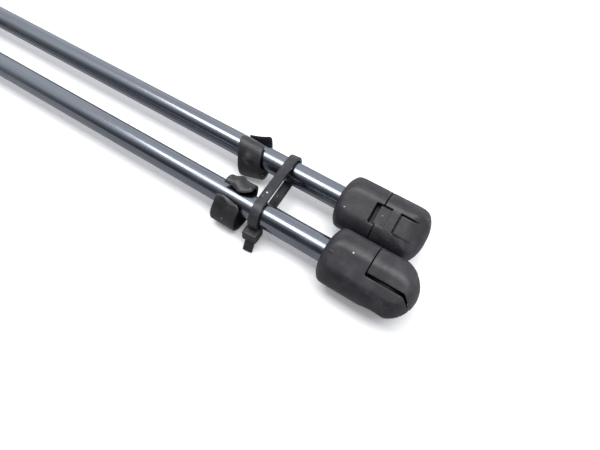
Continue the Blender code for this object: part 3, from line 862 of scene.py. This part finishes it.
def table_top():
    """Pale table, faintly uneven. The camera sees it pale with a little painted glow that lifts the shadows
    on it;
    every other ray, so also the rods' reflections and the bounced light, meets a darker sheet without the
    glow:
    painted shade that darkens the rods' lower sides and the sockets' undersides."""
    made, tree, shader = finish_of("pale_table", 0.0)
    where = own_place(tree, False)
    cloudy = add(tree, "TexNoise", Vector=where, Scale=9.0, Detail=5.0)
    fine = add(tree, "TexNoise", Vector=where, Scale=700.0, Detail=3.0)
    colour = tint(tree, cloudy, (0.86, 0.86, 0.87), (0.90, 0.90, 0.90))
    # painted shade: rays other than the camera's meet a darker table, seen dark in the rods and bouncing less
    # light up
    seen = add(tree, "LightPath").outputs["Is Camera Ray"]
    colour = tint(tree, seen, (0.33, 0.33, 0.34), colour)
    bump = add(tree, "Bump", Strength=0.06, Distance=0.0001, Height=fine)
    shader.inputs["Roughness"].default_value = 0.55
    shader.inputs["Emission Color"].default_value = (1.0, 1.0, 1.0, 1.0)
    # painted glow for the camera only, lifting the table's shadows
    tree.links.new(maths(tree, "MULTIPLY", seen, 0.16).outputs[0], shader.inputs["Emission Strength"])
    tree.links.new(colour, shader.inputs["Base Color"])
    tree.links.new(bump.outputs[0], shader.inputs["Normal"])
    return made


FINISH = {
    "dark_polished_steel": polished_rod(),
    "black_paint": tube_paint(),
    "plain_steel": machined_metal("turned_plain_steel", (0.42, 0.42, 0.43), (0.60, 0.60, 0.61), 0.32),
    "sintered_alloy": machined_metal(
        "sintered_alloy", (0.34, 0.32, 0.29), (0.50, 0.48, 0.44), 0.46, pits=0.8),
    "black_rubber": moulded_plastic(
        "black_seal_rubber", (0.012, 0.012, 0.012), (0.022, 0.022, 0.021), 0.72, 3400.0, 0.5, moulded=False),
    "white_guide_plastic": moulded_plastic(
        "white_guide_plastic", (0.66, 0.65, 0.61), (0.76, 0.75, 0.71), 0.46, 3000.0, 0.2, moulded=False),
    "amber_ring_plastic": moulded_plastic(
        "amber_ring_plastic", (0.38, 0.24, 0.08), (0.50, 0.34, 0.13), 0.40, 3000.0, 0.2, moulded=False),
    "black_socket_plastic": moulded_plastic(
        "black_socket_plastic", (0.012, 0.011, 0.015), (0.020, 0.018, 0.023), 0.42),
    "black_lock_plastic": moulded_plastic(
        "black_lock_plastic", (0.014, 0.013, 0.017), (0.023, 0.021, 0.026), 0.40, pebble=2300.0),
    "black_clip_plastic": moulded_plastic(
        "black_clip_plastic", (0.012, 0.012, 0.014), (0.020, 0.020, 0.022), 0.38, 3200.0, 0.25),
    "black_tie_nylon": moulded_plastic(
        "black_tie_nylon", (0.012, 0.012, 0.017), (0.020, 0.020, 0.026), 0.36, 3600.0, 0.2),
}


# ================================================================ the pieces
def hand_over(obj, body, node, slot):
    """A finished piece takes its material, rides on its body and stands for its node."""
    obj.data.materials.append(FINISH[slot])
    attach(obj, body)
    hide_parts(node)


def make_sockets():
    """Four sockets of two mouldings each; a lock rides on its own body unless the tie holds it shut."""
    housing = socket_housing()
    lock = socket_lock()
    lock_body = {
        "near_rod_end": "tied_rods", "far_rod_end": "far_rod_lock",
        "near_tube_end": "near_tube_lock", "far_tube_end": "far_tube_lock",
    }
    for end, body in lock_body.items():
        rod_end = end.endswith("rod_end")
        place = ball_place(end, 1 if rod_end else -1)
        holder = "tied_rods" if rod_end else end.replace("_tube_end", "_cylinder")
        moulding = placed_moulding(f"{end}_socket_housing", *housing, place)
        hand_over(moulding, holder, f"{end}_socket", "black_socket_plastic")
        moulding = placed_moulding(f"{end}_socket_lock", *lock, place)
        hand_over(moulding, body, f"{end}_lock", "black_lock_plastic")


def make_struts():
    """Each strut's rod and pressure tube, turned."""
    for side in ("near", "far"):
        rod = lathe(f"{side}_rod", rod_profile(), side, 128)
        hand_over(rod, "tied_rods", f"{side}_piston_rod", "dark_polished_steel")
        tube = lathe(f"{side}_tube", tube_profile(), side, 128, loop=True)
        hand_over(tube, f"{side}_cylinder", f"{side}_pressure_tube", "black_paint")


def make_clips():
    """One open clip on each rod."""
    for side, rings, x in (("near", near_clip(), NEAR_CLIP_X), ("far", far_clip(), FAR_CLIP_X)):
        points, tris = settled(link(skin(f"{side}_clip_wall", rings)), [])
        clip = placed_moulding(f"{side}_open_clip", points, tris, from_ball(side, x))
        hand_over(clip, f"{side}_clip", f"{side}_rod_clip", "black_clip_plastic")


def make_tie():
    """The tie stands between the rods, turned a little about the upright."""
    turn = Matrix.Rotation(math.radians(TIE_SKEW), 4, "Z")
    middle = (BALL["near"] + BALL["far"]) / 2
    place = np.array(turn)
    place[:3, 3] = (BALL["near"][0] + TIE_X * MM, middle[1], middle[2])
    tie = placed_moulding("strap_tie", *cable_tie(), place)
    hand_over(tie, "tied_rods", "cable_tie", "black_tie_nylon")


def dress_inner_pieces():
    """The turned and moulded pieces inside the tubes keep their own shapes and get finished materials."""
    slots = {
        "rod_guide": "white_guide_plastic", "seal_washer": "plain_steel", "rod_seal": "black_rubber",
        "seal_retainer": "plain_steel", "stop_ring": "plain_steel", "support_washer": "plain_steel",
        "piston": "sintered_alloy", "piston_ring": "amber_ring_plastic", "valve_disc": "plain_steel",
        "rivet_collar": "plain_steel", "end_plug": "sintered_alloy", "end_plug_seal": "black_rubber",
    }
    for side in ("near", "far"):
        for part, slot in slots.items():
            obj = frame["nodes"][f"{side}_{part}"]
            obj.data.materials.clear()
            obj.data.materials.append(FINISH[slot])


make_sockets()
make_struts()
make_clips()
make_tie()
dress_inner_pieces()


# ================================================================ table, light and camera
def flat_table():
    """A square table top just under the lowest piece."""
    mesh = bpy.data.meshes.new("table")
    half = 3.0
    z = cad_box[0][2] - 0.00002
    corners = [(-half, -half, z), (half, -half, z), (half, half, z), (-half, half, z)]
    mesh.from_pydata(corners, [], [(0, 1, 2, 3)])
    table = link(mesh)
    mesh.materials.append(table_top())


def softbox(name, zenith, distance, width, depth, power):
    """A rectangular light over the middle of the object, leaning from straight up toward -Y by an angle."""
    light = bpy.data.lights.new(name, "AREA")
    light.shape = "RECTANGLE"
    light.size, light.size_y = width, depth
    light.energy = power
    obj = bpy.data.objects.new(name, light)
    bpy.context.scene.collection.objects.link(obj)
    a = math.radians(zenith)
    obj.location = (BALL["near"][0] * 0.6, -distance * math.sin(a), distance * math.cos(a))
    obj.rotation_euler = (-a, 0.0, 0.0)
    obj.visible_camera = False


def studio_world():
    """Grey room: mid grey all round, dark on the near side, and pale where it is seen directly."""
    world = bpy.data.worlds.new("studio")
    world.use_nodes = True
    bpy.context.scene.world = world
    tree = world.node_tree
    toward = add(tree, "SeparateXYZ", tree.nodes.new("ShaderNodeTexCoord").outputs["Generated"])
    near = spread(tree, toward.outputs["Y"], -0.20, -0.80)
    room = tint(tree, near, (0.98, 1.00, 1.05), (0.10, 0.10, 0.12))
    seen = tree.nodes.new("ShaderNodeLightPath").outputs["Is Camera Ray"]
    tree.links.new(tint(tree, seen, room, (0.93, 0.93, 0.94)), tree.nodes["Background"].inputs["Color"])


def set_camera():
    """The camera, placed from the near rod-end ball."""
    camera = bpy.data.objects.new("camera", bpy.data.cameras.new("camera"))
    bpy.context.scene.collection.objects.link(camera)
    camera.location = BALL["near"] + np.array(CAMERA_FROM_NEAR_BALL)
    camera.rotation_euler = [math.radians(a) for a in CAMERA_TURN]
    camera.data.sensor_width = 36.0
    camera.data.lens = CAMERA_LENS
    camera.data.clip_start = 0.001
    bpy.context.scene.camera = camera


flat_table()
softbox("overhead_softbox", 9, 1.2, 1.7, 0.52, 15.0)
studio_world()
set_camera()
bpy.context.scene.view_settings.view_transform = "Standard"
